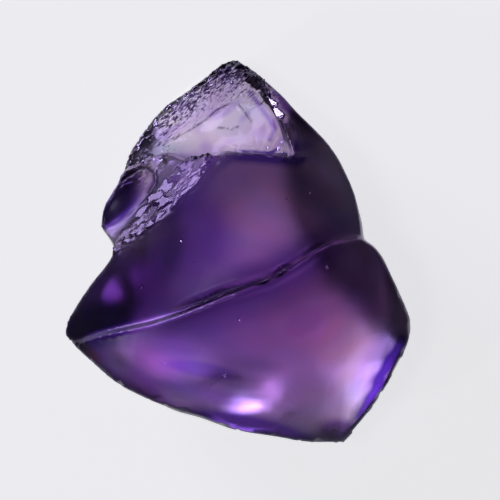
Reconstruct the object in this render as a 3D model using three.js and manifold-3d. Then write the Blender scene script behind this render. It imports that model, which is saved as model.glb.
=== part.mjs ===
// A rough alexandrite: one water-worn violet crystal fragment, broken along curved (conchoidal) faces.
// It lies on its flat back break. Millimetres, +Z up, +X across the stone, +Y from its blunt end to its apex.
// The origin is under the middle of the stone, on the surface it lies on.
import * as THREE from "three";
import { mergeVertices } from "three/addons/utils/BufferGeometryUtils.js";
import Module from "manifold-3d";

const wasm = await Module();
wasm.setup();

// Driving dimensions
const GIRDLE_HEIGHT = 3.9; // where the outline is widest, above the resting face, at the origin
const GIRDLE_TILT = 4; // degrees: the girdle rises towards the blunt end
const SHOULDER_HEIGHT = 5.4; // how far the worn shoulder reaches above and below the girdle
const SHOULDER_ROLL = 0.25; // how far it has rolled in by then, as a share of the outline
const SHOULDER_STEPS = 5;
const OUTLINE_STEP = 0.55; // spacing of the outline's corners
const COARSE_STEP = 0.5; // facet size on the large worn faces
const FINE_STEP = 0.45; // facet size on the fresh breaks

// The outline seen from above, as smooth stretches that meet at the stone's corners
const APEX = [0, 9.65];
const LOBE_NOTCH = [6.3, 0.62];
const RIGHT_CORNER = [8.56, -3.7];
const FOOT = [5.7, -9.6];
const LEFT_CORNER = [-8.55, -3.65];
const NUB_TIP = [-6.45, 1.3];
const OUTLINE = [
  [APEX, [1.3, 8.7], [2.9, 7.1], [4.72, 5.2], [5.92, 2.8], LOBE_NOTCH],
  [LOBE_NOTCH, [6.97, 0.1], [7.77, -1.45], [8.45, -3.0], RIGHT_CORNER],
  [RIGHT_CORNER, [8.2, -5.0], [7.38, -6.66], [6.48, -8.1], FOOT],
  [FOOT, [3.0, -9.07], [-0.43, -8.35], [-4.68, -6.72], [-6.97, -5.25], LEFT_CORNER],
  [LEFT_CORNER, [-7.87, -2.66], [-6.4, -0.8], [-5.85, 0.15], [-6.1, 0.8], NUB_TIP],
  [NUB_TIP, [-6.28, 2.3], [-5.7, 3.2], [-5.5, 4.2], [-5.15, 5.2], [-4.0, 7.25], [-2.15, 8.5], APEX],
];

// Each face is a point on it, the way it faces, and its radii of curvature along and across it:
// a positive radius bulges out, a negative one is a scooped break, and Infinity is flat.
const DEG = Math.PI / 180;

// A direction from its compass angle in the XY plane and its slope from level, facing up or down
const facing = (azimuth, slope, up = 1) => [
  Math.sin(slope * DEG) * Math.cos(azimuth * DEG),
  Math.sin(slope * DEG) * Math.sin(azimuth * DEG),
  Math.cos(slope * DEG) * up,
];

const FLAT = [Infinity, Infinity];

const WORN_FRONT = {
  lowerLobe: { at: [-0.2, -4.2, 7.0], facing: facing(265, 18), radii: [10, 13] },
  middleBand: { at: [0.5, 1.5, 6.5], facing: facing(100, 15), radii: [11, 18] },
};

// The lobe stands a little proud of the middle band, along a low step that levels off at its right end
const LOBE_STEP = {
  slant: { at: [0.6, -1.6, 7.4], facing: facing(114.5, 75), radii: FLAT },
  rightEnd: { at: [5.4, 0.68, 6.2], facing: facing(95, 75), radii: FLAT },
};

const FRESH_BREAKS = {
  paleFloor: { at: [-0.8, 5.8, 2.2], facing: facing(182, 10), radii: [-8, -26], step: FINE_STEP },
  paleRightWall: { at: [1.95, 7.0, 4.2], facing: facing(208, 80), radii: [-9, -12], step: FINE_STEP },
  paleRimWall: { at: [0.2, 4.75, 5.5], facing: facing(93, 79), radii: [16, Infinity], step: FINE_STEP },
  nubTop: { at: [-5.7, 2.5, 4.0], facing: facing(140, 10), radii: [2.6, 1.5], step: FINE_STEP },
  shelfWall: { at: [-2.83, 2.51, 5.72], facing: facing(135.3, 62), radii: [-40, -14], step: FINE_STEP },
};

const WORN_BACK = {
  underApex: { at: [0, 9.3, 1.3], facing: facing(90, 12, -1), radii: [80, Infinity] },
  underLeftCorner: { at: [-8.4, -3.7, 2.2], facing: facing(180, 28, -1), radii: [80, 60] },
  underShelf: { at: [-6.5, 1.5, 2.3], facing: facing(168, 44, -1), radii: [Infinity, 60] },
  underLobe: { at: [-2, -8.1, 1.5], facing: facing(248, 18, -1), radii: [90, Infinity] },
  lobeEdge: { at: [-2, -8.1, 2.2], facing: facing(247, 48, -1), radii: [60, 40] },
  underFoot: { at: [7.1, -6.7, 1.2], facing: facing(332, 12, -1), radii: [90, Infinity] },
  underRightCorner: { at: [3.7, -1.7, 0], facing: facing(33, 42, -1), radii: [-16, Infinity] },
  underRightSide: { at: [2.4, 6.5, 0.7], facing: facing(28, 46, -1), radii: [Infinity, 60] },
};

// A flake is gone from under the left edge: a scooped face that rises outwards, and the face it broke against
const LEFT_NOTCH = {
  rise: { at: [-2.2, -3.0, 0], facing: facing(147, 31, -1), radii: [-8, Infinity] },
  back: { at: [-5.0, 0.3, 2.6], facing: facing(285, 35, -1), radii: FLAT },
};

// Small round chips out of the back, as a centre and a radius
const BACK_CHIPS = {
  lobeChip: { at: [0.1, -6.7, -4.0], radius: 4.95 },
  leftChip: { at: [-4.9, -2.0, 1.15], radius: 0.9 },
};

const FACE_SIZE = 26; // each break reaches well past the stone
const BREAK_DEPTH = 12;
const CHIP_DETAIL = 5; // how finely a round chip is faceted
const MERGE_DISTANCE = 1e-5; // corners closer than this are one corner

// A closed geometry as a solid that can be cut and joined
function solid(geometry) {
  const bare = geometry.clone();
  bare.deleteAttribute("normal");
  bare.deleteAttribute("uv");
  const merged = mergeVertices(bare, MERGE_DISTANCE);
  return new wasm.Manifold(
    new wasm.Mesh({
      numProp: 3,
      vertProperties: new Float32Array(merged.attributes.position.array),
      triVerts: new Uint32Array(merged.index.array),
    }),
  );
}

// How far a face lies below its tangent plane, at a and b along it
const sag = ([ra, rb], a, b) => -(a * a) / (2 * ra) - (b * b) / (2 * rb);

// What lies outside a face: a block whose underside has the shape of the break
function outside({ at, facing: normal, radii, step = COARSE_STEP }) {
  const cells = Math.round(FACE_SIZE / step);
  const block = new THREE.BoxGeometry(FACE_SIZE, FACE_SIZE, BREAK_DEPTH, cells, cells, 1);
  const position = block.attributes.position;
  for (let i = 0; i < position.count; i++) {
    const inner = position.getZ(i) < 0;
    position.setZ(i, inner ? sag(radii, position.getX(i), position.getY(i)) : BREAK_DEPTH);
  }
  const out = new THREE.Vector3(...normal).normalize();
  const along = new THREE.Vector3(0, 0, 1).cross(out).normalize();
  const across = new THREE.Vector3().crossVectors(out, along);
  block.applyMatrix4(new THREE.Matrix4().makeBasis(along, across, out).setPosition(...at));
  return solid(block);
}

// The outline's corners, in order round the stone, anticlockwise from above as a lathe turns
function outlineCorners() {
  const clockwise = OUTLINE.flatMap((stretch) => {
    const curve = new THREE.SplineCurve(stretch.map(([x, y]) => new THREE.Vector2(x, y)));
    return curve.getSpacedPoints(Math.round(curve.getLength() / OUTLINE_STEP)).slice(0, -1);
  });
  return clockwise.reverse();
}

// The shoulder's section, from the axis below to the axis above: share of the outline against height
function shoulderSection() {
  const rolled = [];
  for (let i = -SHOULDER_STEPS; i <= SHOULDER_STEPS; i++) {
    const rise = i / SHOULDER_STEPS;
    rolled.push(new THREE.Vector2(1 - SHOULDER_ROLL * rise * rise, SHOULDER_HEIGHT * rise));
  }
  const below = new THREE.Vector2(0, -SHOULDER_HEIGHT);
  const above = new THREE.Vector2(0, SHOULDER_HEIGHT);
  return [below, ...rolled, above];
}

// The block that the faces were broken from: a turned section, stretched to the outline
function roughBlock() {
  const corners = outlineCorners();
  const section = shoulderSection();
  const block = new THREE.LatheGeometry(section, corners.length);
  const position = block.attributes.position;
  for (let i = 0; i < position.count; i++) {
    const corner = corners[Math.floor(i / section.length) % corners.length];
    const { x: share, y: height } = section[i % section.length];
    position.setXYZ(i, corner.x * share, corner.y * share, height);
  }
  block.rotateX(-GIRDLE_TILT * DEG);
  block.translate(0, 0, GIRDLE_HEIGHT);
  return solid(block);
}

function backChip({ at, radius }) {
  return solid(new THREE.IcosahedronGeometry(radius, CHIP_DETAIL).translate(...at));
}

// What lies below the resting face
function belowRest() {
  return solid(new THREE.BoxGeometry(FACE_SIZE, FACE_SIZE, BREAK_DEPTH).translate(0, 0, -BREAK_DEPTH / 2));
}

// What one break took away: whatever is outside all of its faces at once
const broken = (...faces) => faces.map(outside).reduce((common, next) => common.intersect(next));

function stone() {
  const { lowerLobe, middleBand } = WORN_FRONT;
  const { paleFloor, paleRightWall, paleRimWall, nubTop, shelfWall } = FRESH_BREAKS;
  const removed = [
    broken(lowerLobe),
    broken(middleBand, LOBE_STEP.slant),
    broken(middleBand, LOBE_STEP.rightEnd),
    broken(nubTop, shelfWall),
    broken(paleFloor, paleRightWall, paleRimWall),
    ...Object.values(WORN_BACK).map((face) => broken(face)),
    broken(LEFT_NOTCH.rise, LEFT_NOTCH.back),
    ...Object.values(BACK_CHIPS).map(backChip),
    belowRest(),
  ];
  return removed.reduce((left, piece) => left.subtract(piece), roughBlock());
}

function geometryOf(body) {
  const { vertProperties, triVerts } = body.getMesh();
  const geometry = new THREE.BufferGeometry();
  geometry.setAttribute("position", new THREE.BufferAttribute(vertProperties, 3));
  geometry.setIndex(new THREE.BufferAttribute(triVerts, 1));
  return geometry;
}

// Moves the stone so that the origin is under the middle of its box
function centred(geometry) {
  geometry.computeBoundingBox();
  const { min, max } = geometry.boundingBox;
  geometry.translate(-(min.x + max.x) / 2, -(min.y + max.y) / 2, -min.z);
  geometry.computeVertexNormals();
  return geometry;
}

const violetCrystal = new THREE.MeshStandardMaterial({ color: 0x5a2d82, roughness: 0.35, metalness: 0 });

const alexandrite = new THREE.Mesh(centred(geometryOf(stone())), violetCrystal);
alexandrite.name = "alexandrite_crystal";

const group = new THREE.Group();
group.add(alexandrite);

export default group;
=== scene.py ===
# %% [markdown]
# # A rough alexandrite, lying on a light table
#
# This lesson finishes one loose gemstone: a violet crystal fragment, frosted by wear over most of its
# skin and freshly broken at its pointed end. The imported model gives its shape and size. What is left for
# Blender is the part that makes a stone look like a stone: soft ridges, small chips, a skin that is not
# quite smooth, and a clear inside that darkens with depth.

# %% Load the fixed frame
import math
import random

import bmesh
import bpy
import numpy as np
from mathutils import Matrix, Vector, noise


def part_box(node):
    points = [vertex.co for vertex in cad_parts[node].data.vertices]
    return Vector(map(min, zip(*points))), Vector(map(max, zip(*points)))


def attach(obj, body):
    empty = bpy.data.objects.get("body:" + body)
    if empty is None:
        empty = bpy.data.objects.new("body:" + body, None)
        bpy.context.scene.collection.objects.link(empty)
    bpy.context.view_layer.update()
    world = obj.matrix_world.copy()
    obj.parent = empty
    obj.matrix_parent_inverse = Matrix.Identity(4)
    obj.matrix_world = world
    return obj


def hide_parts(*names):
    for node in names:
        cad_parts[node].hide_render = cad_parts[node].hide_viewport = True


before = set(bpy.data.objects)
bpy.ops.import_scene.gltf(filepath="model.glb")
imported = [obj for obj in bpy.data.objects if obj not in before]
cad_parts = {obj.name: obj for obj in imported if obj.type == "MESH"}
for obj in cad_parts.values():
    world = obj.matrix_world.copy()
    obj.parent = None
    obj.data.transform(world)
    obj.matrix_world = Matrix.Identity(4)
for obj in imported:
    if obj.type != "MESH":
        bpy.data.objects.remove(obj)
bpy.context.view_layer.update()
STONE = "alexandrite_crystal"
MM = 0.001
lowest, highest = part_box(STONE)
print("stone, mm:", [round(side / MM, 2) for side in highest - lowest])

# %% [markdown]
# ## The camera
#
# The stone lies down, so the camera looks straight down on it, with the pointed end at the top of the
# picture. A short lens close by would show the flanks of the stone and change its outline. A long lens
# from far off keeps the outline nearly free of perspective, so that is used. The frame's width in
# millimetres and the place of its middle set the framing, and the lens follows from them.

# %% Camera straight above
FRAME_WIDTH = 24.4 * MM
FRAME_MIDDLE = Vector((0.585 * MM, 0.073 * MM, 0))
FRAMED_AT = 3 * MM  # the frame's width is taken at this height, near the stone's widest line
CAMERA_HEIGHT = 260 * MM
NEAREST_SEEN = 10 * MM
SENSOR_WIDTH = 36  # a camera's own sizes are in millimetres

lens = bpy.data.cameras.new("camera")
lens.sensor_width = SENSOR_WIDTH
lens.lens = SENSOR_WIDTH * (CAMERA_HEIGHT - FRAMED_AT) / FRAME_WIDTH
lens.clip_start = NEAREST_SEEN
camera = bpy.data.objects.new("camera", lens)
camera.location = FRAME_MIDDLE + Vector((0, 0, CAMERA_HEIGHT))
scene = bpy.context.scene
scene.collection.objects.link(camera)
scene.camera = camera
print("lens, mm:", round(lens.lens))


# %% [markdown]
# ## Helpers for colours, directions and nodes
#
# Colours are easiest to pick and compare as sRGB hex values, but shaders work in linear light, so one
# function turns the first into the second. Lights and small facets both need a direction, and a compass
# angle with a slope is easier to picture than three numbers. One more function adds a shader node with its
# settings and links in a single call, which keeps a material readable from top to bottom.

# %% Helpers
def linear(hex_colour):
    def channel(start):
        value = int(hex_colour[start : start + 2], 16) / 255
        return value / 12.92 if value <= 0.04045 else ((value + 0.055) / 1.055) ** 2.4

    return (channel(1), channel(3), channel(5), 1.0)


def direction(azimuth, slope):
    """A unit vector from its compass angle, anticlockwise from +X, and its slope from straight up."""
    flat = math.sin(math.radians(slope))
    compass = math.radians(azimuth)
    return (flat * math.cos(compass), flat * math.sin(compass), math.cos(math.radians(slope)))


def add_node(tree, kind, inputs=None, **settings):
    node = tree.nodes.new(kind)
    for name, value in settings.items():
        setattr(node, name, value)
    for name, value in (inputs or {}).items():
        if isinstance(value, bpy.types.NodeSocket):
            tree.links.new(value, node.inputs[name])
        else:
            node.inputs[name].default_value = value
    return node


def new_material(name):
    material = bpy.data.materials.new(name)
    material.use_nodes = True
    material.node_tree.nodes.clear()
    return material


print("mid grey in linear light:", round(linear("#808080")[0], 3))

# %% [markdown]
# ## The light table
#
# Gem rough is judged on a light table: a pale floor of opal acrylic that glows, so that light comes up
# through the stone. A floor that only reflects would be dark under the stone, and the crystal would look
# black. The lamps and grey cards under the acrylic could be modelled, but only the soft patches that they
# make can be seen, so the acrylic's own glow is drawn brighter and dimmer in soft ovals instead.

# %% Lamps and cards under the table
FLOOR_GLOW = 0.79
UNLIT_GLOW = 0.02
PAD_LIT = 18 * MM  # the lit pad is even this far out
PAD_DARK = 24 * MM  # and unlit from here
LAMP_SOFT_EDGE = 0.1  # where a lamp's patch starts to fade, as a share of its radius
# Each lamp: middle in mm, radii in mm, turn in degrees, and the glow it adds. A grey card takes glow away.
LAMPS = {
    "main": ((0.6, -2.6), (6.9, 5.6), 0, 1.1),
    "heart": ((1.1, 0.4), (2.6, 2.6), 0, 1.0),
    "lobe": ((4.4, -3.4), (2.6, 2.6), 0, 2.3),
    "spot": ((0.5, -5.6), (1.15, 0.6), 12, 14.0),
    "spot_tail": ((1.2, -5.2), (0.9, 0.4), 25, 1.4),
    "window": ((4.8, -5.2), (1.8, 2.4), -29, 2.9),
    "window_streak": ((5.4, -6.2), (0.6, 1.7), -29, 6.0),
    "rose": ((2.0, -3.6), (2.8, 2.4), 0, 0.6),
    "left": ((-2.2, -4.4), (2.3, 1.2), -10, 2.8),
    "pale": ((-0.5, 6.0), (3.6, 2.4), 0, 0.3),
    "break_edge": ((-2.8, 6.7), (3.2, 1.0), 45, 0.4),
    "bottom_card": ((1.0, -7.9), (5.0, 1.0), -14, -0.5),
    "ridge_card": ((1.2, -1.5), (5.0, 1.4), 25, -0.3),
    "right_card": ((3.1, 0.9), (3.6, 1.2), -57, -0.5),
}
print("lamps and cards under the table:", len(LAMPS))

# %% The glowing floor
FLOOR_SIZE = 1.6
FLOOR_GAP = 0.02 * MM  # a stone touches a table at a few points only, so there is air under its flat back
FLOOR_COLOUR = "#D8D8DA"
GLOW_COLOUR = "#F7F7FA"
ACRYLIC_ROUGHNESS = 0.7


def opal_acrylic():
    # Opal acrylic, cast and lit from below: an even pale glow with no gloss to draw the eye
    material = new_material("opal_acrylic_lit")
    tree = material.node_tree
    surface = add_node(tree, "ShaderNodeBsdfPrincipled", {"Roughness": ACRYLIC_ROUGHNESS})
    surface.inputs["Base Color"].default_value = linear(FLOOR_COLOUR)
    surface.inputs["Emission Color"].default_value = linear(GLOW_COLOUR)
    place = add_node(tree, "ShaderNodeTexCoord").outputs["Object"]
    far = add_node(tree, "ShaderNodeVectorMath", {0: place}, operation="LENGTH").outputs["Value"]
    pad = {"From Min": PAD_LIT, "From Max": PAD_DARK, "To Min": FLOOR_GLOW, "To Max": UNLIT_GLOW}
    even = add_node(tree, "ShaderNodeMapRange", {"Value": far, **pad}, interpolation_type="SMOOTHSTEP")
    total = even.outputs["Result"]
    for (x, y), (wide, long), turn, extra in LAMPS.values():
        oval = {
            "Location": (x * MM, y * MM, 0),
            "Rotation": (0, 0, math.radians(turn)),
            "Scale": (wide * MM, long * MM, 1),
        }
        patch = add_node(tree, "ShaderNodeMapping", {"Vector": place, **oval}, vector_type="TEXTURE")
        away = add_node(tree, "ShaderNodeVectorMath", {0: patch.outputs["Vector"]}, operation="LENGTH")
        glow = add_node(
            tree,
            "ShaderNodeMapRange",
            {"Value": away.outputs["Value"], "From Min": LAMP_SOFT_EDGE, "To Min": extra, "To Max": 0.0},
            interpolation_type="SMOOTHSTEP",
        )
        both = add_node(tree, "ShaderNodeMath", {0: glow.outputs["Result"], 1: total}, operation="ADD")
        total = both.outputs[0]
    tree.links.new(total, surface.inputs["Emission Strength"])
    add_node(tree, "ShaderNodeOutputMaterial", {"Surface": surface.outputs["BSDF"]})
    return material


def light_table():
    shape = bmesh.new()
    bmesh.ops.create_grid(shape, x_segments=1, y_segments=1, size=FLOOR_SIZE / 2)
    mesh = bpy.data.meshes.new("light_table")
    shape.to_mesh(mesh)
    shape.free()
    mesh.materials.append(opal_acrylic())
    table = bpy.data.objects.new("light_table", mesh)
    table.location.z = -FLOOR_GAP
    scene.collection.objects.link(table)
    return table


light_table()
print("lit pad, mm across:", round(2 * PAD_LIT / MM))

# %% [markdown]
# ## The room
#
# A bright room would lay a grey veil over the stone, so it is kept dim and deep places stay deep. Three
# softboxes put a sheen on the worn skin and on the torn groove, and one small bright lamp gives the nicks
# something to glint at. All are area lights, because a stone mirrors the shape of its lights.

# %% Room and softboxes
WORLD_COLOUR = "#E9EBF0"
WORLD_STRENGTH = 0.02
LIGHT_DISTANCE = 0.5
# Each light: compass angle and height in degrees, width and height in metres, watts, and colour
LIGHTS = {
    "softbox_left": (138, 10, 0.2, 0.12, 1.0, "#EFE4FF"),
    "softbox_right": (35, 32, 0.45, 0.45, 0.04, "#E8C4F4"),
    "softbox_over": (182, 70, 0.12, 0.12, 0.12, "#FFFFFF"),
    "glint_lamp": (208, 22, 0.04, 0.04, 0.12, "#FFFFFF"),
}


def softbox(name, azimuth, elevation, width, height, watts, colour):
    light = bpy.data.lights.new(name, "AREA")
    light.shape = "RECTANGLE"
    light.size = width
    light.size_y = height
    light.energy = watts
    light.color = linear(colour)[:3]
    box = bpy.data.objects.new(name, light)
    away = Vector(direction(azimuth, 90 - elevation))
    box.location = away * LIGHT_DISTANCE
    box.rotation_euler = away.to_track_quat("Z", "Y").to_euler()
    scene.collection.objects.link(box)


world = bpy.data.worlds.new("studio")
world.use_nodes = True
world.node_tree.nodes["Background"].inputs["Color"].default_value = linear(WORLD_COLOUR)
world.node_tree.nodes["Background"].inputs["Strength"].default_value = WORLD_STRENGTH
scene.world = world
for name, settings in LIGHTS.items():
    softbox(name, *settings)

# %% [markdown]
# ## The stone's body
#
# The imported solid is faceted. A stone is not: its curves are continuous and its ridges are worn round. A
# subdivision surface would round it too, but the facets are of uneven size and their edges would show. A
# voxel remesh turns them into an even skin of small quads instead, and a few rounds of smoothing round the
# ridges by a tenth of a millimetre or two.

# %% Remesh and smooth
VOXEL = 0.123 * MM
SMOOTH_ROUNDS = 5
SMOOTH_FACTOR = 0.5
MERGE_DISTANCE = 0.0005 * MM


def merged_copy(node):
    shape = bmesh.new()
    shape.from_mesh(node.data)
    bmesh.ops.remove_doubles(shape, verts=shape.verts, dist=MERGE_DISTANCE)
    mesh = bpy.data.meshes.new("crystal")
    shape.to_mesh(mesh)
    shape.free()
    piece = bpy.data.objects.new("crystal", mesh)
    scene.collection.objects.link(piece)
    return piece


def apply_modifiers(piece):
    bpy.context.view_layer.update()
    evaluated = piece.evaluated_get(bpy.context.evaluated_depsgraph_get())
    finished = bpy.data.meshes.new_from_object(evaluated)
    piece.modifiers.clear()
    piece.data = finished


crystal = merged_copy(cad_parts[STONE])
remesh = crystal.modifiers.new("even_skin", "REMESH")
remesh.mode = "VOXEL"
remesh.voxel_size = VOXEL
rounding = crystal.modifiers.new("worn_ridges", "SMOOTH")
rounding.factor = SMOOTH_FACTOR
rounding.iterations = SMOOTH_ROUNDS
apply_modifiers(crystal)
print("skin quads:", len(crystal.data.polygons))

# %% [markdown]
# The back is the oldest break and the most worn. Light passes through it on the way to the eye, so a sharp
# turn in it would show inside the stone as a hard line. A Smooth modifier can be held to a vertex group,
# so all that faces down is smoothed further, and the two places where the flat back turns up most of all.

# %% Smooth the back
BACK_ROUNDS = 23
BACK_FACING = -0.15  # a vertex is on the back when its normal's Z is below this
# Where the flat back turns up on the left and on the right: rounds, and two corners in the XY plane in mm
TURNED_UP = {
    "left": (195, (-3.8, -3.2), (-0.4, 3.4)),
    "right": (115, (1.4, -4.8), (6.6, 5.2)),
}


def smooth_part(piece, name, rounds, chosen):
    group = piece.vertex_groups.new(name=name)
    group.add([vertex.index for vertex in piece.data.vertices if chosen(vertex)], 1.0, "REPLACE")
    smooth = piece.modifiers.new(name, "SMOOTH")
    smooth.factor = SMOOTH_FACTOR
    smooth.iterations = rounds
    smooth.vertex_group = name
    apply_modifiers(piece)
    piece.vertex_groups.clear()


def on_back(vertex):
    return vertex.normal.z < BACK_FACING


def boxed_back(low, high):
    def chosen(vertex):
        return on_back(vertex) and all(low[i] < vertex.co[i] / MM < high[i] for i in range(2))

    return chosen


smooth_part(crystal, "back", BACK_ROUNDS, on_back)
for side, (rounds, low, high) in TURNED_UP.items():
    smooth_part(crystal, side, rounds, boxed_back(low, high))
print("lowest, mm:", round(min(v.co.z for v in crystal.data.vertices) / MM, 3))

# %% [markdown]
# The fresh break at the pointed end has finer detail than the worn skin, so its quads are halved once. The
# worn skin has a few tiny nicks, and the quads round those are halved twice. Halving the whole skin would
# give the same detail, but with several times the faces.

# %% Finer quads on the break and round the nicks
BREAK_BOX = ((-6.8, 0.0, 1.9), (3.6, 9.8, 6.2))  # two corners, in mm
NICKS = [
    (2.46, 2.49), (2.29, 4.3), (2.12, -0.7), (4.4, -0.7), (3.6, 2.83), (-2.1, -0.5),
    (-2.63, 0.56), (-0.5, -5.9), (-3.4, -5.3), (0.2, -3.2), (-4.6, -1.6),
]
NICK_SURROUNDS = (0.55, 0.4)  # how far the halving reaches from a nick, in mm, the first and second time
FRONT_FACING = -0.1  # only vertices whose normal's Z is above this


def halve_quads(piece, chosen_by):
    shape = bmesh.new()
    shape.from_mesh(piece.data)
    chosen = {v for v in shape.verts if v.normal.z > FRONT_FACING and chosen_by(v.co / MM)}
    edges = [edge for edge in shape.edges if all(vertex in chosen for vertex in edge.verts)]
    bmesh.ops.subdivide_edges(shape, edges=edges, cuts=1, use_grid_fill=True)
    shape.to_mesh(piece.data)
    shape.free()


def in_break_box(place):
    return all(low < along < high for low, along, high in zip(BREAK_BOX[0], place, BREAK_BOX[1]))


def near_nick(reach):
    def chosen(place):
        return any(math.hypot(place.x - x, place.y - y) < reach for x, y in NICKS)

    return chosen


halve_quads(crystal, in_break_box)
for reach in NICK_SURROUNDS:
    halve_quads(crystal, near_nick(reach))
print("skin faces:", len(crystal.data.polygons))

# %% [markdown]
# ## Tools for carving the skin
#
# The finer shapes could be sculpted by hand, but then nobody could read how. They are carved here by moving
# the skin's vertices with a formula, as a sculptor's brushes would. Each brush needs the same few measures,
# in millimetres: where every vertex is, which way it faces, how far it is from a line drawn over the stone,
# and a noise with a grain of its own length and breadth.

# %% Places, facings and fades
def read_vectors(collection, field):
    flat = np.empty(len(collection) * 3)
    collection.foreach_get(field, flat)
    return flat.reshape(-1, 3)


def places(piece):
    return read_vectors(piece.data.vertices, "co") / MM


def facings(piece):
    return read_vectors(piece.data.vertex_normals, "vector")


def carve(piece, moves):
    """Moves the skin by these vectors in mm. Nothing goes below the table."""
    moved = places(piece) + moves
    moved[:, 2] = np.maximum(moved[:, 2], 0.0)
    piece.data.vertices.foreach_set("co", (moved * MM).ravel())
    piece.data.update()


def fade(value, full, none):
    """A share that runs smoothly from 1, where the value is full, to 0, where it is none."""
    share = np.clip((value - none) / (full - none), 0.0, 1.0)
    return share * share * (3 - 2 * share)


print("lowest, mm:", round(float(places(crystal)[:, 2].min()), 3))


# %% Distances from lines, and grain
def off_line(spots, line):
    """Distance from a line drawn over the stone, and that distance signed by side: positive on its left."""
    best = np.full(len(spots), np.inf)
    signed = np.zeros(len(spots))
    for (x0, y0), (x1, y1) in zip(line, line[1:]):
        run = np.array((x1 - x0, y1 - y0))
        from_start = spots[:, :2] - (x0, y0)
        share = np.clip(from_start @ run / (run @ run), 0.0, 1.0)
        gap = from_start - share[:, None] * run
        distance = np.hypot(gap[:, 0], gap[:, 1])
        left = run[0] * from_start[:, 1] - run[1] * from_start[:, 0]
        closer = distance < best
        best[closer] = distance[closer]
        signed[closer] = np.where(left > 0, distance, -distance)[closer]
    return best, signed


def inside(spots, outline):
    """How far inside a closed outline each spot is, negative outside it."""
    closed = outline + outline[:1]
    distance, _ = off_line(spots, closed)
    odd = np.zeros(len(spots), dtype=bool)
    x, y = spots[:, 0], spots[:, 1]
    for (x0, y0), (x1, y1) in zip(closed, closed[1:]):
        if y0 == y1:
            continue
        crosses = (y0 > y) != (y1 > y)
        odd ^= crosses & (x < x0 + (y - y0) * (x1 - x0) / (y1 - y0))
    return np.where(odd, distance, -distance)


def turned(spots, x, y, turn):
    """Distances along and across a direction in the XY plane, from a point."""
    cosine, sine = math.cos(math.radians(turn)), math.sin(math.radians(turn))
    along = (spots[:, 0] - x) * cosine + (spots[:, 1] - y) * sine
    across = (spots[:, 1] - y) * cosine - (spots[:, 0] - x) * sine
    return along, across


def grain(spots, length, breadth, turn=0.0, seed=0.0):
    """Smooth noise from -1 to 1, with a grain of this length and breadth in mm, turned by this angle."""
    along, across = turned(spots, 0.0, 0.0, turn)
    rows = zip(along / length + seed, across / breadth, spots[:, 2] / breadth)
    return np.array([noise.noise(row) for row in rows])


spots = places(crystal)
normals = facings(crystal)
print("vertices:", len(spots))

# %% [markdown]
# ## Wear
#
# Tumbling in a river bed leaves a skin with shallow waves and makes every straight line wander. A displace
# modifier could lift the skin, but it cannot push a ridge sideways. So one wide noise moves the skin
# sideways, and others lift and lower it a little.

# %% Waves of wear
WANDER_SEEDS = (3.0, 17.0)  # along X and along Y
# Height and length in mm
WANDER = (0.16, 2.6)
LONG_WAVE = (0.05, 3.2)
SHORT_WAVE = (0.02, 1.1)
BACK_WAVE = (0.12, 1.7)
ON_BACK = (-0.2, 0.2)  # a normal's Z where the back's own wave is full, and where there is none
OFF_TABLE = (0.6, 0.1)  # and the heights, because the back stays flat where it rests


def wave(height, length, seed):
    return height * grain(spots, length, length, seed=seed)


sideways = np.zeros_like(spots)
for axis, seed in enumerate(WANDER_SEEDS):
    sideways[:, axis] = wave(*WANDER, seed)
waves = wave(*LONG_WAVE, seed=31.0) + wave(*SHORT_WAVE, seed=43.0)
waves += fade(normals[:, 2], *ON_BACK) * fade(spots[:, 2], *OFF_TABLE) * wave(*BACK_WAVE, seed=57.0)
carve(crystal, sideways + waves[:, None] * normals)
print("largest wave, mm:", round(float(np.abs(waves).max()), 3))

# %% [markdown]
# ## The fresh break
#
# The pointed end broke off late, so its surface is glassy. Its outline is drawn over the stone as a few
# corners, and a share from 0 to 1 says how fresh each vertex is. A separate piece would leave a seam. A
# share runs smoothly into the worn skin, and the roughness can be worked out from it later.

# %% Outline of the break
FRESH_OUTLINE = [
    (0.9, 9.2), (1.6, 8.1), (2.3, 7.0), (2.8, 5.9), (3.05, 4.6), (0.8, 4.85), (-0.4, 4.85), (-1.2, 4.3),
    (-3.0, 2.6), (-6.1, 0.3), (-6.6, 1.5), (-6.4, 3.0), (-5.2, 5.3), (-3.0, 7.6), (-0.3, 9.7),
]
FRESH_BORDER = (0.12, -0.12)  # how far inside the outline it is all fresh, and where none of it is
FACES_UP = (0.35, 0.05)  # a normal's Z where the skin counts as facing up, fully and not at all

spots = places(crystal)
normals = facings(crystal)
up = fade(normals[:, 2], *FACES_UP)
depth_inside = inside(spots, FRESH_OUTLINE)
fresh = fade(depth_inside, *FRESH_BORDER) * up
print("share that is fresh:", round(float((fresh > 0.5).mean()), 3))

# %% [markdown]
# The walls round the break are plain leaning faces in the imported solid. On the stone they stand nearly
# upright. Moving whole faces would tear the skin, so the foot of each wall is pushed back under its rim,
# and the push fades out smoothly along the wall and up it.

# %% Upright walls
RIM = [
    (2.83, 4.61), (0.83, 4.8), (-0.39, 4.85), (-1.22, 4.32), (-2.83, 2.51), (-4.3, 1.3), (-6.0, 0.07),
]
RIGHT_FOOT = [(0.75, 7.9), (1.15, 7.3), (1.45, 6.6), (1.75, 6.0), (2.0, 5.3), (2.15, 4.9)]
WALL_SHIFT = np.array((0.0, -0.62, 0.0))  # how far the foot of the rim's wall goes back, mm
RIM_SHIFT = np.array((0.0, -0.16, 0.0))  # and how far the rim itself goes back at its right end
RIGHT_SHIFT = np.array((0.42, 0.14, 0.0))  # the foot of the wall on the right
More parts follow.
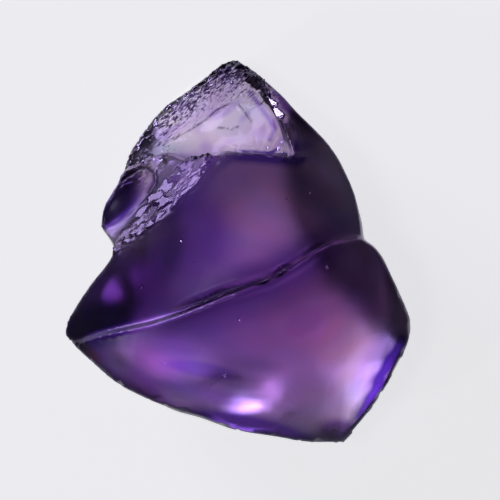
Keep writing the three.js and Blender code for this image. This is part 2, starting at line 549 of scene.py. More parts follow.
# Where each move is full, and where it has faded out, in mm
FOOT_HEIGHT = (2.6, 5.4)
FOOT_PAST_RIM = (0.7, 2.2)
FOOT_LEFT_END = (-2.4, -4.2)
FOOT_RIGHT_END = (2.2, 2.9)
FOOT_BORDER = (0.0, -0.6)
RIM_REACH = (0.2, 1.6)
RIM_LEFT_END = (1.6, -0.6)
RIM_RIGHT_END = (2.8, 3.8)
RIGHT_FOOT_HEIGHT = (2.95, 3.9)
RIGHT_FOOT_REACH = (0.2, 0.75)
RIM_FACING = (0.0, -0.3)  # a normal's Z
FOOT_FACING = -0.2  # and the least that the foot of the wall may have

_, rim_side = off_line(spots, RIM)
past_rim = -rim_side
on_break = fade(depth_inside, *FOOT_BORDER) * (normals[:, 2] > FOOT_FACING) * (past_rim > 0)
foot = fade(spots[:, 2], *FOOT_HEIGHT) * fade(past_rim, *FOOT_PAST_RIM) * on_break
foot *= fade(spots[:, 0], *FOOT_LEFT_END) * fade(spots[:, 0], *FOOT_RIGHT_END)
rim_top = fade(np.abs(past_rim), *RIM_REACH) * fade(normals[:, 2], *RIM_FACING)
rim_top *= fade(spots[:, 0], *RIM_LEFT_END) * fade(spots[:, 0], *RIM_RIGHT_END)
right_gap, _ = off_line(spots, RIGHT_FOOT)
right_foot = fade(spots[:, 2], *RIGHT_FOOT_HEIGHT) * fade(right_gap, *RIGHT_FOOT_REACH) * fresh
moves = foot[:, None] * WALL_SHIFT + rim_top[:, None] * RIM_SHIFT + right_foot[:, None] * RIGHT_SHIFT
carve(crystal, moves)
print("furthest push, mm:", round(float(np.abs(moves).max()), 2))

# %% [markdown]
# A glassy break is not plain: it has a step where the crack changed level, fine cracks, and rough hackles
# where it ran out at the edge. Bump in the material could shade them, but would leave the stone's edge
# smooth against the light, so the skin itself is moved. Dirt gathers among the hackles and in the cracks.

# %% Hackles, step and cracks
HACKLE_EDGE = [
    (-5.3, 4.6), (-5.0, 5.1), (-3.7, 6.76), (-1.85, 8.17), (-0.44, 9.15), (0.3, 9.3), (1.1, 8.6),
]
ARC_STEP = [
    (-3.9, 5.0), (-3.56, 5.2), (-2.59, 5.73), (-1.85, 6.17), (-1.12, 6.71), (-0.39, 7.15), (0.1, 7.2),
]
CRACKS = [
    [(-3.1, 5.45), (-2.2, 5.95), (-1.5, 6.4), (-1.0, 6.85), (-0.4, 7.15)],
    [(0.1, 7.1), (0.35, 6.8), (0.7, 6.3)],
    [(-4.3, 5.8), (-4.05, 5.55), (-3.7, 5.2), (-3.4, 5.4)],
    [(-0.9, 6.0), (-0.3, 5.95), (0.1, 6.05)],
]
LONG_HACKLES = {"length": 0.9, "breadth": 0.28, "turn": 35, "seed": 5.0}
FINE_HACKLES = {"length": 0.5, "breadth": 0.16, "turn": 50, "seed": 9.0}
FINE_HACKLE_SHARE = 0.6
HACKLE_LEVEL = 0.3  # noise under this stands proud, and noise over it cuts in
HACKLE_DEPTH = 0.24
HACKLE_REACH = (0.5, 2.0)
STEP_DEPTH = 0.12
STEP_REACH = (0.0, 1.6)
CRACK_DEPTH = 0.05
CRACK_WIDTH = (0.025, 0.075)
CRACK_FLAWS = {"length": 0.35, "breadth": 0.35, "seed": 113.0}
CRACK_FLAW_WIDTH = 0.045  # flaws this wide make a crack thinner or break it off

spots = places(crystal)
normals = facings(crystal)
edge_gap, _ = off_line(spots, HACKLE_EDGE)
hackled = fade(edge_gap, *HACKLE_REACH) * fresh
hackles = np.abs(grain(spots, **LONG_HACKLES)) + FINE_HACKLE_SHARE * np.abs(grain(spots, **FINE_HACKLES))
crack_gap = np.minimum.reduce([off_line(spots, crack)[0] for crack in CRACKS])
crack_gap += CRACK_FLAW_WIDTH * np.abs(grain(spots, **CRACK_FLAWS))
cracked = fade(crack_gap, *CRACK_WIDTH) * fresh
_, arc_side = off_line(spots, ARC_STEP)
stepped = fade(np.abs(arc_side), *STEP_REACH) * (arc_side < 0) * fresh
moves = HACKLE_DEPTH * hackled * (HACKLE_LEVEL - hackles) - STEP_DEPTH * stepped - CRACK_DEPTH * cracked
carve(crystal, moves[:, None] * normals)
print("deepest hackle, mm:", round(float(-moves.min()), 2))

# %% Dirt on the break
APEX = (0.0, 9.4)
APEX_DIRT = 1.15  # the pointed end is dirtier than the edge
APEX_DIRT_REACH = (0.5, 2.6)
EDGE_DIRT_REACH = (0.0, 2.2)
DIRT_LEFT_END = (-3.2, -4.6)

apex_gap = np.hypot(spots[:, 0] - APEX[0], spots[:, 1] - APEX[1])
dirt = np.maximum(fade(edge_gap, *EDGE_DIRT_REACH), APEX_DIRT * fade(apex_gap, *APEX_DIRT_REACH))
dirt *= fresh * fade(spots[:, 0], *DIRT_LEFT_END)
# the stains of the cracks start a mask that later also takes the painted shadow along the ridge
stain_and_shade = cracked
print("dirty share:", round(float((dirt > 0.5).mean()), 3))

# %% [markdown]
# ## The groove and the knob
#
# Between the middle of the stone and the small knob on its left runs a groove of torn flakes. They lie
# along the groove, so the noise that makes them is long that way and narrow across. The groove's rim is
# nibbled, and a dark crack runs round the crest of the knob.

# %% Flakes along the groove
GROOVE = [
    (-1.1, 4.7), (-1.3, 4.1), (-2.9, 2.4), (-6.0, -0.1), (-6.3, 0.5), (-5.2, 2.1), (-4.0, 3.6), (-3.2, 4.4),
]
KNOB_CREST = [
    (-5.7, 3.4), (-5.2, 3.75), (-4.75, 4.05), (-4.3, 4.1), (-4.0, 3.85), (-3.95, 3.4), (-4.25, 2.9),
]
GROOVE_BORDER = (0.15, -0.15)
LONG_FLAKES = {"length": 2.2, "breadth": 0.5, "turn": 44, "seed": 21.0}
FINE_FLAKES = {"length": 0.9, "breadth": 0.25, "turn": 32, "seed": 27.0}
FINE_FLAKE_SHARE = 0.4
FLAKE_DEPTH = 0.07
NIBBLES = {"length": 0.5, "breadth": 0.4, "turn": 20, "seed": 61.0}
NIBBLE_DEPTH = 0.09
NIBBLE_REACH = (0.05, 0.45)
CREST_DEPTH = 0.08
CREST_WIDTH = (0.0, 0.2)
CREST_STAIN_WIDTH = (0.05, 0.2)
STAIN_AND_SHADE_STRENGTH = 0.97

spots = places(crystal)
normals = facings(crystal)
grooved = fade(inside(spots, GROOVE), *GROOVE_BORDER) * up
flakes = np.abs(grain(spots, **LONG_FLAKES)) + FINE_FLAKE_SHARE * np.abs(grain(spots, **FINE_FLAKES))
nibbled = fade(off_line(spots, RIM)[0], *NIBBLE_REACH) * up * np.abs(grain(spots, **NIBBLES))
crest_gap, _ = off_line(spots, KNOB_CREST)
crest = fade(crest_gap, *CREST_WIDTH) * up
moves = -FLAKE_DEPTH * grooved * flakes - NIBBLE_DEPTH * nibbled - CREST_DEPTH * crest
stain_and_shade = np.maximum(stain_and_shade, STAIN_AND_SHADE_STRENGTH * fade(crest_gap, *CREST_STAIN_WIDTH) * up)
carve(crystal, moves[:, None] * normals)
print("groove vertices:", int((grooved > 0.5).sum()))

# %% [markdown]
# ## The ridge
#
# Where the lower lobe stands proud, wear has undercut the step into a dark line with a rounded lip. A
# crease drawn in the material would be flat from the side. The skin is cut in on one side of a line drawn
# along the step and raised on the other, and the cut is painted dark to a ragged width, as painted shadow
# under the lip.

# %% Ridge line
RIDGE = [
    (-7.0, -4.0), (-5.3, -3.7), (-3.6, -3.2), (-1.85, -2.5), (-0.6, -2.0), (0.8, -1.55), (1.6, -1.3),
    (2.3, -0.9), (3.0, -0.5), (3.8, 0.05), (4.5, 0.45), (5.2, 0.65), (6.1, 0.56),
]
RIDGE_MIDDLE = 0.6  # along X, where the cut is deepest
RIDGE_REACH = (2.2, 4.5)  # along X from there
CUT_DEPTH = 0.2
CUT_WIDTH = (0.05, 0.45)
LIP_HEIGHT = 0.06
LIP_PLACE = -0.25  # the lip is on the lobe's side of the line
LIP_WIDTH = (0.0, 0.3)
# Painted shadow along the cut under the lip: darker in colour, to a ragged width
RIDGE_SHADOW_PLACE = 0.08
RIDGE_SHADOW_WIDTH = 0.17
RIDGE_SHADOW_RAGGEDNESS = 0.14
RIDGE_SHADOW_GRAIN = {"length": 0.9, "breadth": 0.9, "seed": 83.0}
RIDGE_SHADOW_SOFT_EDGE = (-0.05, 0.06)

spots = places(crystal)
normals = facings(crystal)
up = fade(normals[:, 2], *FACES_UP)
ridge_gap, ridge_side = off_line(spots, RIDGE)
deep = fade(np.abs(spots[:, 0] - RIDGE_MIDDLE), *RIDGE_REACH) * up
cut = CUT_DEPTH * fade(ridge_gap, *CUT_WIDTH) * (ridge_side > 0)
lip = LIP_HEIGHT * fade(np.abs(ridge_side - LIP_PLACE), *LIP_WIDTH)
carve(crystal, ((lip - cut) * deep)[:, None] * normals)
# the cut under the lip is painted dark as its shadow, in the same mask as the stains
ragged = RIDGE_SHADOW_WIDTH + RIDGE_SHADOW_RAGGEDNESS * grain(spots, **RIDGE_SHADOW_GRAIN)
shadowed_cut = fade(np.abs(ridge_side - RIDGE_SHADOW_PLACE) - ragged, *RIDGE_SHADOW_SOFT_EDGE)
stain_and_shade = np.maximum(stain_and_shade, STAIN_AND_SHADE_STRENGTH * deep * shadowed_cut)
print("ridge vertices:", int((ridge_gap < CUT_WIDTH[1]).sum()))

# %% [markdown]
# ## Edge chips
#
# Along its thin edges the stone has lost small flat chips, and two longer ones beside the break shine
# white. Cutting each with a boolean would be slow and leave slivers. A chip is made instead by pressing
# everything that stands above a plane down onto it, within a small circle. Their places are drawn from
# seeded dice, so every run gives the same stone.

# %% Edge chips
BOTTOM_EDGE = [(-8.3, -4.0), (-7.2, -5.4), (-4.83, -6.95), (-0.54, -8.51), (3.0, -9.1), (5.35, -9.4)]
RIGHT_EDGE = [
    (5.35, -9.4), (6.2, -8.1), (7.17, -6.66), (8.05, -5.0), (8.4, -3.7), (7.61, -1.49), (6.78, 0.07),
]
BOTTOM_SPACING = 0.45
RIGHT_SPACING = 0.6
CHIP_TURN = 35  # degrees either way from straight out
CHIP_SLOPES = (35, 110)
CHIP_DEPTHS = (0.02, 0.08)
CHIP_RADII = (0.3, 0.8)
LONG_CHIPS = [(1.7, 7.35), (2.0, 6.8)]
LONG_CHIP_AZIMUTH = 210  # half way between the camera and the small lamp, as seen from there
LONG_CHIP_SLOPE = 34.8
LONG_CHIP_DEPTH = 0.28
LONG_CHIP_RADIUS = 0.4
MOVED = 0.001  # a smaller move than this, in mm, does not count
dice = random.Random(11)


def chip(spots, x, y, azimuth, slope, depth, radius):
    """Presses what stands above a plane down onto it. A slope of more than 90 degrees faces down."""
    out = np.array(direction(azimuth, slope))
    near = np.hypot(spots[:, 0] - x, spots[:, 1] - y) < radius
    if not near.any():
        return
    height = spots @ out
    over = np.where(near, height - (height[near].max() - depth), 0.0)
    spots -= np.maximum(over, 0.0)[:, None] * out


def chip_edge(spots, line, spacing):
    for (x0, y0), (x1, y1) in zip(line, line[1:]):
        length = math.hypot(x1 - x0, y1 - y0)
        outward = math.degrees(math.atan2(y1 - y0, x1 - x0)) - 90
        for _ in range(round(length / spacing)):
            share = dice.random()
            azimuth = outward + dice.uniform(-CHIP_TURN, CHIP_TURN)
            slope = dice.uniform(*CHIP_SLOPES)
            depth = dice.uniform(*CHIP_DEPTHS)
            radius = dice.uniform(*CHIP_RADII)
            chip(spots, x0 + share * (x1 - x0), y0 + share * (y1 - y0), azimuth, slope, depth, radius)


def moved_spots(spots, before):
    return np.abs(spots - before).max(axis=1) > MOVED


spots = places(crystal)
before = spots.copy()
chip_edge(spots, BOTTOM_EDGE, BOTTOM_SPACING)
chip_edge(spots, RIGHT_EDGE, RIGHT_SPACING)
chipped_edge = spots.copy()
for x, y in LONG_CHIPS:
    chip(spots, x, y, LONG_CHIP_AZIMUTH, LONG_CHIP_SLOPE, LONG_CHIP_DEPTH, LONG_CHIP_RADIUS)
long_chipped = moved_spots(spots, chipped_edge)
carve(crystal, spots - before)
print("chipped vertices:", int(moved_spots(spots, before).sum()))

# %% [markdown]
# ## Flakes and nicks
#
# Tiny flat facets catch a light and show as bright specks. White dots painted on would stay white in every
# light. So a nick is a small patch of skin that is laid flat at one angle, half way between straight up and
# the light it should mirror. Nicks in the worn skin face the small lamp. It cannot reach the break and the
# groove, so the sparkles and flakes there face the left softbox.

# %% A tool that lays a patch flat
MIRROR_LAMP = (208, 34)  # compass angle and slope of a facet that shows the small lamp
MIRROR_SOFTBOX = (138, 40)  # and of one that shows the left softbox
OUT_OF_REACH = 100.0
PATCH_FACING = 0.2  # a patch takes only vertices whose normal's Z is above this
PATCH_GRAIN = {"length": 0.4, "breadth": 0.15, "seed": 127.0}
PATCH_SURROUNDS = 1.5  # shares of a patch's radius: where its border starts to be ragged
PATCH_RAGGEDNESS = 0.5
PATCH_FLAT = 0.7  # and how far out it is quite flat
PATCH_LIMIT = 0.2  # the furthest that a patch moves the skin, in mm
LEAST_LEAN = 0.3  # keeps a patch that is nearly side on from moving far
LOWER_RIGHT = (0.65, -0.76)  # a step of one millimetre to the lower right


def nick(spots, normals, x, y, azimuth, slope, radius, turn=0.0, breadth=1.0, proud=PATCH_LIMIT):
    """Lays a patch of skin flat at one angle. Returns each spot's share in it and how far it moves."""
    out = np.array(direction(azimuth, slope))
    along, across = turned(spots, x, y, turn)
    gap = np.hypot(along, across / breadth) + OUT_OF_REACH * (normals[:, 2] < PATCH_FACING)
    middle = spots[gap.argmin()].copy()
    close = gap < PATCH_SURROUNDS * radius
    gap[close] += PATCH_RAGGEDNESS * radius * grain(spots[close], turn=turn, **PATCH_GRAIN)
    share = fade(gap, PATCH_FLAT * radius, radius)
    rise = -((spots - middle) @ out) / np.maximum(normals @ out, LEAST_LEAN)
    return share, (share * np.clip(rise, -PATCH_LIMIT, proud))[:, None] * normals


def beside(line, count, gaps, radii):
    """Scatters patches beside a line that runs down to the left, at these distances to its lower right."""
    for _ in range(count):
        (x0, y0), (x1, y1) = dice.choice(list(zip(line, line[1:])))
        share = dice.random()
        gap = dice.uniform(*gaps)
        x = x0 + share * (x1 - x0) + LOWER_RIGHT[0] * gap
        y = y0 + share * (y1 - y0) + LOWER_RIGHT[1] * gap
        yield x, y, dice.uniform(*radii)


spots = places(crystal)
normals = facings(crystal)
nicked = long_chipped.astype(float)
flaked = np.zeros(len(spots))
print("long chip vertices:", int(nicked.sum()))

# %% Flakes in the groove
# Each flake: a place and a length, in mm
FLAKES = [
    (-2.35, 3.5, 0.95), (-1.9, 3.75, 0.8), (-2.75, 3.7, 0.75), (-2.75, 3.0, 0.9), (-1.75, 4.2, 0.7),
    (-2.3, 4.2, 0.6), (-3.2, 2.65, 0.8), (-3.3, 3.25, 0.7), (-3.7, 2.3, 0.7), (-4.2, 1.85, 0.7),
    (-4.7, 1.4, 0.6), (-5.2, 0.95, 0.6), (-3.9, 2.7, 0.5), (-4.6, 1.95, 0.5),
]
FLAKE_TURN = 44  # they lie along the groove
FLAKE_BREADTH = 0.36  # as a share of their length
# How much one flake differs from the next, in degrees
FLAKE_AZIMUTHS = (-8, 8)
FLAKE_SLOPES = (-3, 7)
FLAKE_TURNS = (-12, 12)
RIM_FLAKES = 40
RIM_FLAKE_GAPS = (-0.15, 0.1)
RIM_FLAKE_LENGTHS = (0.2, 0.4)
GROOVE_RIM = RIM[3:]

flake_places = FLAKES + list(beside(GROOVE_RIM, RIM_FLAKES, RIM_FLAKE_GAPS, RIM_FLAKE_LENGTHS))
for x, y, length in flake_places:
    azimuth = MIRROR_SOFTBOX[0] + dice.uniform(*FLAKE_AZIMUTHS)
    slope = MIRROR_SOFTBOX[1] + dice.uniform(*FLAKE_SLOPES)
    turn = FLAKE_TURN + dice.uniform(*FLAKE_TURNS)
    share, moves = nick(spots, normals, x, y, azimuth, slope, length, turn, FLAKE_BREADTH)
    spots += moves
    flaked = np.maximum(flaked, share)
print("flakes:", len(flake_places))

# %% Nicks and sparkles
NICK_RADIUS = 0.1
# Each sparkle: a place and a radius, in mm
SPARKLES = [
    (2.0, 5.0, 0.2), (1.75, 5.3, 0.13), (1.5, 5.0, 0.16),
    (1.9, 5.6, 0.12), (1.2, 5.2, 0.12), (2.2, 5.3, 0.16),
]
EDGE_SPARKLES = 60
EDGE_SPARKLE_GAPS = (0.15, 1.5)
EDGE_SPARKLE_RADII = (0.06, 0.11)
SPARKLE_EDGE = HACKLE_EDGE[:5]

sparkle_places = SPARKLES + list(beside(SPARKLE_EDGE, EDGE_SPARKLES, EDGE_SPARKLE_GAPS, EDGE_SPARKLE_RADII))
facets = [(x, y, *MIRROR_LAMP, NICK_RADIUS, 0.0) for x, y in NICKS]  # these only cut in
facets += [(x, y, *MIRROR_SOFTBOX, radius, PATCH_LIMIT) for x, y, radius in sparkle_places]
for x, y, azimuth, slope, radius, proud in facets:
    share, moves = nick(spots, normals, x, y, azimuth, slope, radius, proud=proud)
    spots += moves
    nicked = np.maximum(nicked, share)
carve(crystal, spots - places(crystal))
print("nicks and sparkles:", len(facets))

# %% [markdown]
# Smoothing and chipping took a little off all round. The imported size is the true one, so the skin is
# stretched back to it along each axis, which changes its shape far less than can be seen.

# %% Back to size
spots = places(crystal)
low, high = spots.min(axis=0), spots.max(axis=0)
cad_low, cad_high = np.array(lowest) / MM, np.array(highest) / MM
growth = (cad_high - cad_low) / (high - low)
carve(crystal, cad_low + (spots - low) * growth - spots)
print("grown by:", [round(float(share), 4) for share in growth])

# %% [markdown]
# ## Colour zones
#
# The crystal grew in zones, and some took up more colour than others. A volume with a pattern of its own
# would show that best, but an exported model loses it. So each vertex of the skin has a tint, which light
# takes on in crossing it. Soft ovals make the zones.

# %% Zones
# Three ovals are painted shade, not zoning: the dark ones at the left end, beside the left boundary of the
# dark zone and along the bottom edge, where the stone's edges and steep sides send light away.
# Each zone: middle in mm, radii in mm, turn in degrees, and tint
COLOUR_ZONES = {
    "left_deep": ((-5.6, -2.1), (3.9, 2.7), 32, "#C078F8"),
    # painted shade at the left end
    "left_end_painted_shade": ((-6.8, -3.6), (3.0, 1.7), 10, "#54309C"),
    # painted shade that softens the left boundary of the dark zone
    "left_painted_shade": ((-2.2, 0.6), (2.8, 3.0), 10, "#C0A4E4"),
    "knob": ((-5.9, 2.3), (1.1, 2.2), -20, "#A878F8"),
    "break_left": ((-4.4, 5.2), (1.8, 1.0), 50, "#E4DCFF"),
    "break_shade": ((-1.4, 7.6), (3.0, 1.1), 42, "#E6DCF8"),
    "apex_side": ((2.6, 7.05), (2.0, 0.6), -46, "#4C3078"),
    "groove": ((-2.9, 2.9), (3.4, 1.5), 44, "#D4C4FF"),
    "left_glow": ((-4.0, -4.8), (2.6, 1.6), -10, "#F4C8FF"),
    "right_deep": ((6.8, -1.6), (2.2, 2.8), -28, "#C4A8CC"),
    # painted shade along the bottom edge
    "bottom_band_painted_shade": ((0.6, -8.75), (6.2, 1.4), -13, "#442A84"),
    "left_foot": ((-5.4, -6.1), (3.4, 1.0), -33, "#B080E4"),
    "rust": ((-7.4, -5.0), (1.1, 0.7), -40, "#D88060"),
    "rose": ((2.9, -3.2), (3.2, 2.4), 20, "#FAE6DC"),
    "heart": ((1.5, 1.6), (3.0, 2.6), 0, "#FFFFE4"),
    "window": ((7.0, -5.4), (1.5, 2.8), -25, "#DCC0FF"),
    "violet_streak": ((-1.7, -5.7), (2.4, 0.5), -10, "#B49CEC"),
    "blue_cloud": ((-1.0, -3.3), (2.4, 0.9), 12, "#ECE4FF"),
    "magenta": ((3.2, -3.4), (1.4, 0.8), 30, "#F8DCF0"),
    "beige": ((4.9, -4.2), (1.1, 2.0), -30, "#FFFAD4"),
    "foot": ((5.0, -8.8), (1.6, 0.9), -12, "#8458C0"),
}
ZONE_BORDER = (0.45, 1.0)  # shares of its radii


def zone_share(spots, middle, radii, turn):
    along, across = turned(spots, *middle, turn)
    return fade(np.hypot(along / radii[0], across / radii[1]), *ZONE_BORDER)


def add_tint(tint, share, colour):
    tint *= 1 - share[:, None] * (1 - np.array(linear(colour)))


spots = places(crystal)
normals = facings(crystal)
tint = np.ones((len(spots), 4))
for middle, radii, turn, colour in COLOUR_ZONES.values():
    add_tint(tint, zone_share(spots, middle, radii, turn), colour)
print("darkest zone:", round(float(tint.min()), 3))

# %% [markdown]
# Edges and lines are painted darker than the zones round them, as painted shade: in the stone, light
# crosses more of it there or leaves it sideways. Each is a band along a line that the stone already has, or
# along one drawn for it. Only the veins on the break are the stone's own colour.

# %% Painted shade on edges and lines, and veins
# Painted shade: the steep flanks of the worn skin are darkened, where light leaves the stone sideways
GIRDLE_PAINTED_SHADE = "#44308C"
GIRDLE_FACING = (0.1, 0.5)  # a normal's Z, up or down
# Painted shade: a dark blue band just under the rim of the break, on the worn side
RIM_PAINTED_SHADE = "#5038B0"
RIM_SHADE_PLACE = 0.25  # on the worn side of the rim
RIM_SHADE_WIDTH = (0.1, 0.5)
RIM_SHADE_LEFT_END = (0.2, -2.2)
# Painted shade: a ragged dark blue line along the lower right edge, at the border of the bright window
BLUE_LINE = [(7.95, -4.4), (7.1, -6.0), (6.15, -7.9), (5.7, -8.9)]  # beside the window at the lower right
BLUE_LINE_PAINTED_SHADE = "#240E68"
BLUE_LINE_WIDTH = (0.2, 0.75)
BLUE_LINE_GRAIN = {"length": 0.8, "breadth": 0.5, "turn": 60, "seed": 131.0}
BLUE_LINE_RAGGEDNESS = 0.25
BLUE_LINE_WIDENING = -0.3  # the noise may widen the line no further than this
# Painted shade: a violet line on the break, along the foot of its right wall
VIOLET_LINE = [(0.55, 7.8), (1.0, 7.2), (1.5, 6.5), (1.78, 6.0), (1.55, 5.5)]  # on the break, by its wall
VIOLET_LINE_PAINTED_SHADE = "#8460C8"
VIOLET_LINE_WIDTH = (0.04, 0.22)
# Painted shade: a wide soft dark band round the ridge, for the shadow below its lip
RIDGE_PAINTED_SHADE = "#A890C4"
RIDGE_SHADE_WIDTH = (0.2, 1.3)
RIDGE_SHADE_REACH = (3.0, 5.5)
VEIN_TINT = "#CDB6F2"
VEINS = {"length": 1.0, "breadth": 0.6, "turn": 40, "seed": 101.0}
VEIN_LEVELS = (0.45, -0.05)

worn_skin = (1 - fresh) * (1 - grooved)
add_tint(tint, fade(np.abs(normals[:, 2]), *GIRDLE_FACING) * worn_skin, GIRDLE_PAINTED_SHADE)
rim_shade_band = fade(np.abs(off_line(spots, RIM)[1] - RIM_SHADE_PLACE), *RIM_SHADE_WIDTH)
add_tint(tint, rim_shade_band * fade(spots[:, 0], *RIM_SHADE_LEFT_END), RIM_PAINTED_SHADE)
blue_noise = np.maximum(grain(spots, **BLUE_LINE_GRAIN), BLUE_LINE_WIDENING)
blue_gap = off_line(spots, BLUE_LINE)[0] + BLUE_LINE_RAGGEDNESS * blue_noise
add_tint(tint, fade(blue_gap, *BLUE_LINE_WIDTH), BLUE_LINE_PAINTED_SHADE)
add_tint(tint, fade(off_line(spots, VIOLET_LINE)[0], *VIOLET_LINE_WIDTH) * fresh, VIOLET_LINE_PAINTED_SHADE)
ridge_shade_band = fade(off_line(spots, RIDGE)[0], *RIDGE_SHADE_WIDTH)
add_tint(tint, ridge_shade_band * fade(np.abs(spots[:, 0] - RIDGE_MIDDLE), *RIDGE_SHADE_REACH), RIDGE_PAINTED_SHADE)
add_tint(tint, fresh * fade(grain(spots, **VEINS), *VEIN_LEVELS), VEIN_TINT)
print("darkest line:", round(float(tint.min()), 3))

# %% [markdown]
# Last come clouds: the inside of a natural stone is never even. One noise dims the skin in drifts. Another
# takes out some red or some blue, so that one place is cooler and the next warmer.

# %% Clouds
DRIFTS = {"length": 2.6, "breadth": 1.1, "turn": 20, "seed": 91.0}
DRIFT_DEPTH = 0.3
WARMTH = {"length": 1.9, "breadth": 1.2, "turn": -15, "seed": 97.0}
WARMTH_LEVEL = 0.15
WARMTH_DEPTH = 0.3

drifts = 0.5 + 0.5 * grain(spots, **DRIFTS)
warmth = grain(spots, **WARMTH) - WARMTH_LEVEL
taken = np.stack([np.maximum(-warmth, 0), 0 * warmth, np.maximum(warmth, 0)], axis=1)
tint[:, :3] *= 1 - DRIFT_DEPTH * (worn_skin * drifts)[:, None]
tint[:, :3] *= 1 - WARMTH_DEPTH * worn_skin[:, None] * taken
crystal.data.attributes.new("tint", "FLOAT_VECTOR", "POINT").data.foreach_set("vector", tint[:, :3].ravel())
print("mean tint:", [round(float(channel), 2) for channel in tint[:, :3].mean(axis=0)])

# %% [markdown]
# ## How smooth the skin is
#
# The worn skin is frosted, the fresh break is glassy and the torn groove is dull. Three materials would
# meet in hard lines. One material with a roughness for each vertex lets them run into each other.

# %% Roughness of each vertex
KNOB = [
    (-6.8, 0.6), (-6.0, 0.4), (-4.6, 2.2), (-3.7, 3.6), (-3.6, 4.3), (-4.1, 4.6), (-5.4, 4.1), (-6.8, 3.0),
]
KNOB_BORDER = (0.2, -0.2)
# Places where the worn skin is nearly clear: middle in mm, radii in mm and turn in degrees
POLISHED = {
    "spot": ((0.7, -7.2), (2.6, 1.6), -10),
    "window": ((6.0, -6.4), (1.8, 3.0), -29),
}
POLISH = 0.75  # how far they are on the way to glassy
WORN_ROUGHNESS = 0.3
GLASSY_ROUGHNESS = 0.07
TORN_ROUGHNESS = 0.42
FLAKE_ROUGHNESS = 0.26

knob = fade(inside(spots, KNOB), *KNOB_BORDER)
polished = np.maximum.reduce([zone_share(spots, *oval) for oval in POLISHED.values()])
torn = grooved * (1 - nicked)
glassy = np.maximum.reduce([fresh * (1 - knob) * (1 - torn), POLISH * polished, nicked])
roughness = WORN_ROUGHNESS + glassy * (GLASSY_ROUGHNESS - WORN_ROUGHNESS)
roughness += torn * (TORN_ROUGHNESS - WORN_ROUGHNESS)
roughness += flaked * (1 - nicked) * (FLAKE_ROUGHNESS - roughness)
print("glassy share:", round(float(glassy.mean()), 3))

# %% Roughness of the back, and the attributes that the material reads
BACK_ROUGHNESS = 0.5  # where the back turns up, so that the turn shows inside as a soft shade
TURN_FACING = (-0.1, 0.0)  # a normal's Z
TURN_BORDER = 0.5  # mm


def write_attribute(piece, name, values):
    attribute = piece.data.attributes.new(name, "FLOAT", "POINT")
    attribute.data.foreach_set("value", values.astype(np.float32))


for _, low, high in TURNED_UP.values():
    share = fade(normals[:, 2], *TURN_FACING)
    for axis in range(2):
        share *= fade(spots[:, axis], low[axis] + TURN_BORDER, low[axis])
        share *= fade(spots[:, axis], high[axis] - TURN_BORDER, high[axis])
    roughness += share * (BACK_ROUGHNESS - roughness)
write_attribute(crystal, "roughness", roughness)
write_attribute(crystal, "stain_and_shade", np.clip(stain_and_shade, 0.0, 1.0))
write_attribute(crystal, "dirt", dirt)
print("attributes:", [attribute.name for attribute in crystal.data.attributes])

# %% [markdown]
# ## The crystal
#
# Chrysoberyl bends light strongly and takes light out of it as it travels, so thin places are pale and
# deep places are dark. A dark colour on a solid surface would look like paint. Plain transmission, an index
# of refraction and a volume absorption do what the stone does. The streaks of dirt among the hackles are
# finer than the skin's quads, so they are a noise in the material, drawn out along the edge of the break.

# %% Violet crystal
CHRYSOBERYL_IOR = 1.745
ABSORPTION_DENSITY = 600.0  # per metre
ABSORPTION_COLOUR = (0.442, 0.192, 0.575, 1.0)  # the share of red, green and blue that is let through
PAINTED_SHEEN_TINT = "#D0BCF6"  # painted sheen colour: all reflections are tinted violet, for light that comes back from just under the frosted skin
STAIN_AND_SHADE_COLOUR = "#150B26"  # iron and dirt held in cracks and hackles, and the painted shadow under the ridge's lip
# Painted sparkle: among the hackles the tint is taken to white in thin streaks, so the floor's glow shows
# through them as bright flecks
SPARKLE_STREAK_COLOUR = "#FFFFFF"
STREAK_TURN = 41  # degrees: they lie along the edge of the break
STREAK_SIZE = (0.34 * MM, 0.085 * MM, 0.085 * MM)
STREAKS = {"Scale": 1, "Detail": 4, "Roughness": 0.6}
DIRT_SHARE = 0.24  # how much more of the noise is dark where there is dirt
FLECKS = {"From Min": 0.62, "From Max": 0.74}
SPARKLE_STREAKS = {"From Min": 0.46, "From Max": 0.36}
DIRT_BORDER = 4.0  # streaks end where the dirt falls to one part in this


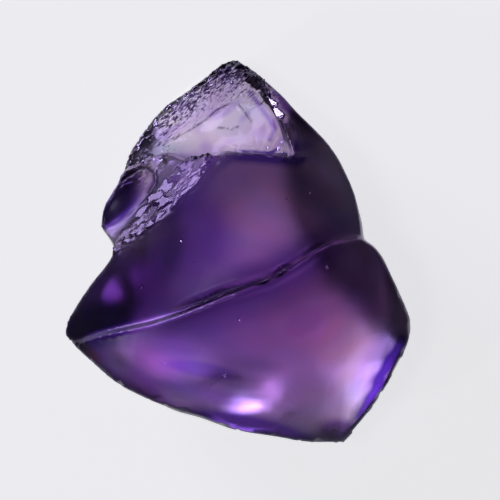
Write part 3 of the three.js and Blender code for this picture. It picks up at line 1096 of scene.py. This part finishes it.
def violet_crystal():
    # Chrysoberyl, its skin frosted by wear: light comes through soft and violet, and clear at the break
    material = new_material("alexandrite_frosted_by_wear")
    tree = material.node_tree
    skin = add_node(tree, "ShaderNodeAttribute", attribute_name="roughness").outputs["Fac"]
    surface = add_node(tree, "ShaderNodeBsdfPrincipled", {"Roughness": skin, "IOR": CHRYSOBERYL_IOR})
    surface.inputs["Transmission Weight"].default_value = 1.0
    surface.inputs["Specular Tint"].default_value = linear(PAINTED_SHEEN_TINT)

    place = add_node(tree, "ShaderNodeTexCoord").outputs["Object"]
    lie = {"Rotation": (0, 0, math.radians(STREAK_TURN)), "Scale": STREAK_SIZE}
    along_edge = add_node(tree, "ShaderNodeMapping", {"Vector": place, **lie}, vector_type="TEXTURE")
    streaks = add_node(tree, "ShaderNodeTexNoise", {"Vector": along_edge.outputs["Vector"], **STREAKS})
    streak = streaks.outputs["Fac"]
    dirt_mask = add_node(tree, "ShaderNodeAttribute", attribute_name="dirt").outputs["Fac"]
    held = add_node(
        tree, "ShaderNodeMath", {0: dirt_mask, 1: DIRT_BORDER}, operation="MULTIPLY", use_clamp=True
    ).outputs[0]
    dirty = add_node(
        tree, "ShaderNodeMath", {0: dirt_mask, 1: DIRT_SHARE, 2: streak}, operation="MULTIPLY_ADD"
    ).outputs[0]
    flecks = add_node(
        tree, "ShaderNodeMapRange", {"Value": dirty, **FLECKS}, interpolation_type="SMOOTHSTEP"
    ).outputs["Result"]
    dark = add_node(tree, "ShaderNodeMath", {0: flecks, 1: held}, operation="MULTIPLY").outputs[0]
    # painted sparkle: where the streak noise is low, the tint goes to white
    sparkle_streaks = add_node(tree, "ShaderNodeMapRange", {"Value": streak, **SPARKLE_STREAKS}).outputs["Result"]
    clear = add_node(tree, "ShaderNodeMath", {0: sparkle_streaks, 1: held}, operation="MULTIPLY").outputs[0]

    zones = add_node(tree, "ShaderNodeAttribute", attribute_name="tint").outputs["Vector"]
    streaked = add_node(tree, "ShaderNodeMix", {"Factor": clear}, data_type="RGBA")
    tree.links.new(zones, streaked.inputs["A"])
    streaked.inputs["B"].default_value = linear(SPARKLE_STREAK_COLOUR)
    # stains in the cracks and on the knob's crest, and the painted shadow along the ridge
    stain_and_shade_mask = add_node(tree, "ShaderNodeAttribute", attribute_name="stain_and_shade").outputs["Fac"]
    stained_and_shaded = add_node(tree, "ShaderNodeMath", {0: stain_and_shade_mask, 1: dark}, operation="MAXIMUM").outputs[0]
    colour = add_node(tree, "ShaderNodeMix", {"Factor": stained_and_shaded}, data_type="RGBA")
    tree.links.new(streaked.outputs["Result"], colour.inputs["A"])
    colour.inputs["B"].default_value = linear(STAIN_AND_SHADE_COLOUR)
    tree.links.new(colour.outputs["Result"], surface.inputs["Base Color"])

    depth = add_node(tree, "ShaderNodeVolumeAbsorption", {"Density": ABSORPTION_DENSITY})
    depth.inputs["Color"].default_value = ABSORPTION_COLOUR
    both = {"Surface": surface.outputs["BSDF"], "Volume": depth.outputs["Volume"]}
    add_node(tree, "ShaderNodeOutputMaterial", both)
    return material


crystal.data.materials.clear()
crystal.data.materials.append(violet_crystal())
for face in crystal.data.polygons:
    face.use_smooth = True
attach(crystal, "root")
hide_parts(STONE)
print("triangles:", sum(len(face.vertices) - 2 for face in crystal.data.polygons))

# %% [markdown]
# ## Light paths and finish
#
# Light crosses several faces inside a stone before it leaves, so the paths have to be long enough. With
# short paths the deep places would turn black.

scene.cycles.max_bounces = 24
scene.cycles.transmission_bounces = 20
scene.cycles.use_denoising = True
scene.view_settings.view_transform = "Standard"
